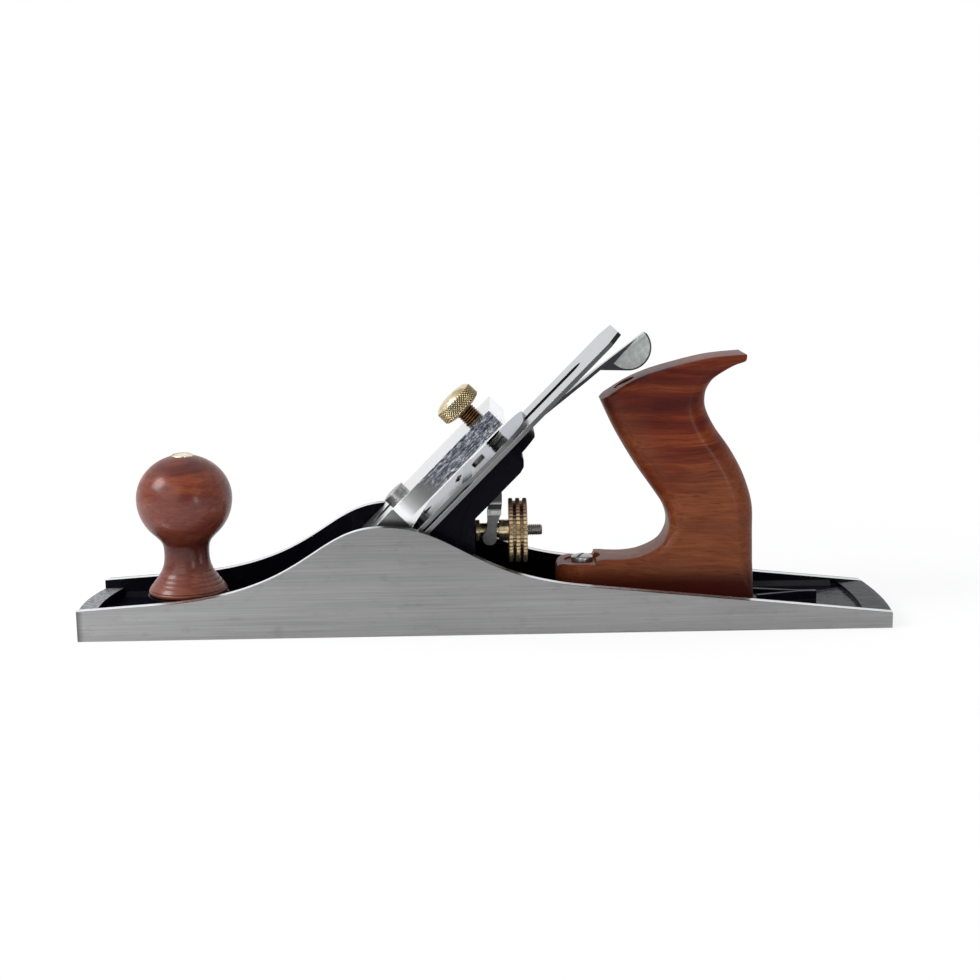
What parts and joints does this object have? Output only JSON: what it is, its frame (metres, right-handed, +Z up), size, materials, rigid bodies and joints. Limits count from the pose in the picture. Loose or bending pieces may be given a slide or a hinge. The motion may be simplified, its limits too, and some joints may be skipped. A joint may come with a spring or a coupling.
{
  "type": "bench plane",
  "caption": "Metal bench plane with arched cheeks, 45 degree frog, double iron, thumb-screw lever cap, depth nut, lateral lever, ball knob and open tote.",
  "frame": {"origin": "on the sole, under the middle of the body's length and width", "axes": "+X from toe to heel, +Y across the body to its left seen from behind, +Z up from the sole"},
  "size_m": [0.3886, 0.073, 0.1394],
  "materials": {
    "body_iron": "ground sides and sole, black japanned trays",
    "black_iron": "black japanned, bed ground",
    "lever_cap_iron": "polished top, rough cast sides",
    "yoke_iron": "bright as cast",
    "bright_steel": "ground",
    "dark_steel": "plain",
    "brass": "aged polish",
    "rosewood": "varnished"
  },
  "bodies": {
    "base": {"plane_body": "body_iron", "frog_screws": "dark_steel", "frog_washers": "dark_steel", "knob": "rosewood", "knob_stud": "dark_steel", "knob_nut": "brass", "tote": "rosewood", "tote_stud": "dark_steel", "tote_nut": "brass", "tote_toe_screw": "bright_steel"},
    "frog_unit": {"frog": "black_iron", "frog_adjusting_plate": "dark_steel", "frog_plate_screw": "dark_steel", "adjusting_stud": "dark_steel", "yoke_pin": "dark_steel", "lateral_lever_pin": "dark_steel", "lever_cap_screw": "bright_steel"},
    "frog_adjuster": {"frog_adjusting_screw": "dark_steel"},
    "depth_nut": {"adjusting_nut": "brass"},
    "yoke_arm": {"yoke": "yoke_iron"},
    "double_iron": {"cutting_iron": "bright_steel", "cap_iron": "bright_steel", "cap_iron_screw": "dark_steel"},
    "lateral_arm": {"lateral_lever": "bright_steel", "lateral_lever_roller": "bright_steel"},
    "lever_cap_unit": {"lever_cap": "lever_cap_iron"},
    "thumb": {"thumb_screw": "brass"}
  },
  "joints": [
    {"name": "frog_slide", "type": "slide", "parent": "base", "child": "frog_unit", "axis": [1, 0, 0], "range_m": [-0.0015, 0.0003]},
    {"name": "frog_screw_turn", "type": "hinge", "parent": "frog_unit", "child": "frog_adjuster", "pos_m": [0, 0, 0.0106], "axis": [1, 0, 0], "range_deg": [-680, 140]},
    {"name": "depth_nut_travel", "type": "slide", "parent": "frog_unit", "child": "depth_nut", "axis": [1, 0, 0], "range_m": [-0.003, 0.003]},
    {"name": "yoke_swing", "type": "hinge", "parent": "frog_unit", "child": "yoke_arm", "pos_m": [0.00446, 0, 0.06399], "axis": [0, 1, 0], "range_deg": [-7.3, 7.3]},
    {"name": "iron_feed", "type": "slide", "parent": "frog_unit", "child": "double_iron", "axis": [0.7071, 0, 0.7071], "range_m": [-0.0016, 0.0016]},
    {"name": "lateral_swing", "type": "hinge", "parent": "frog_unit", "child": "lateral_arm", "pos_m": [0.01825, 0, 0.0898], "axis": [-0.7071, 0, 0.7071], "range_deg": [-7, 7]},
    {"name": "lever_cap_slide", "type": "slide", "parent": "frog_unit", "child": "lever_cap_unit", "axis": [0.7071, 0, 0.7071], "range_m": [0, 0.01]},
    {"name": "thumb_turn", "type": "hinge", "parent": "lever_cap_unit", "child": "thumb", "pos_m": [0.01139, 0, 0.08294], "axis": [-0.7071, 0, 0.7071], "range_deg": [0, 360]}
  ],
  "couplings": [
    {"joint": "frog_screw_turn", "follows": "frog_slide", "rad_per_m": 7854},
    {"joint": "yoke_swing", "follows": "depth_nut_travel", "rad_per_m": -41.5},
    {"joint": "iron_feed", "follows": "depth_nut_travel", "ratio": -0.527}
  ]
}
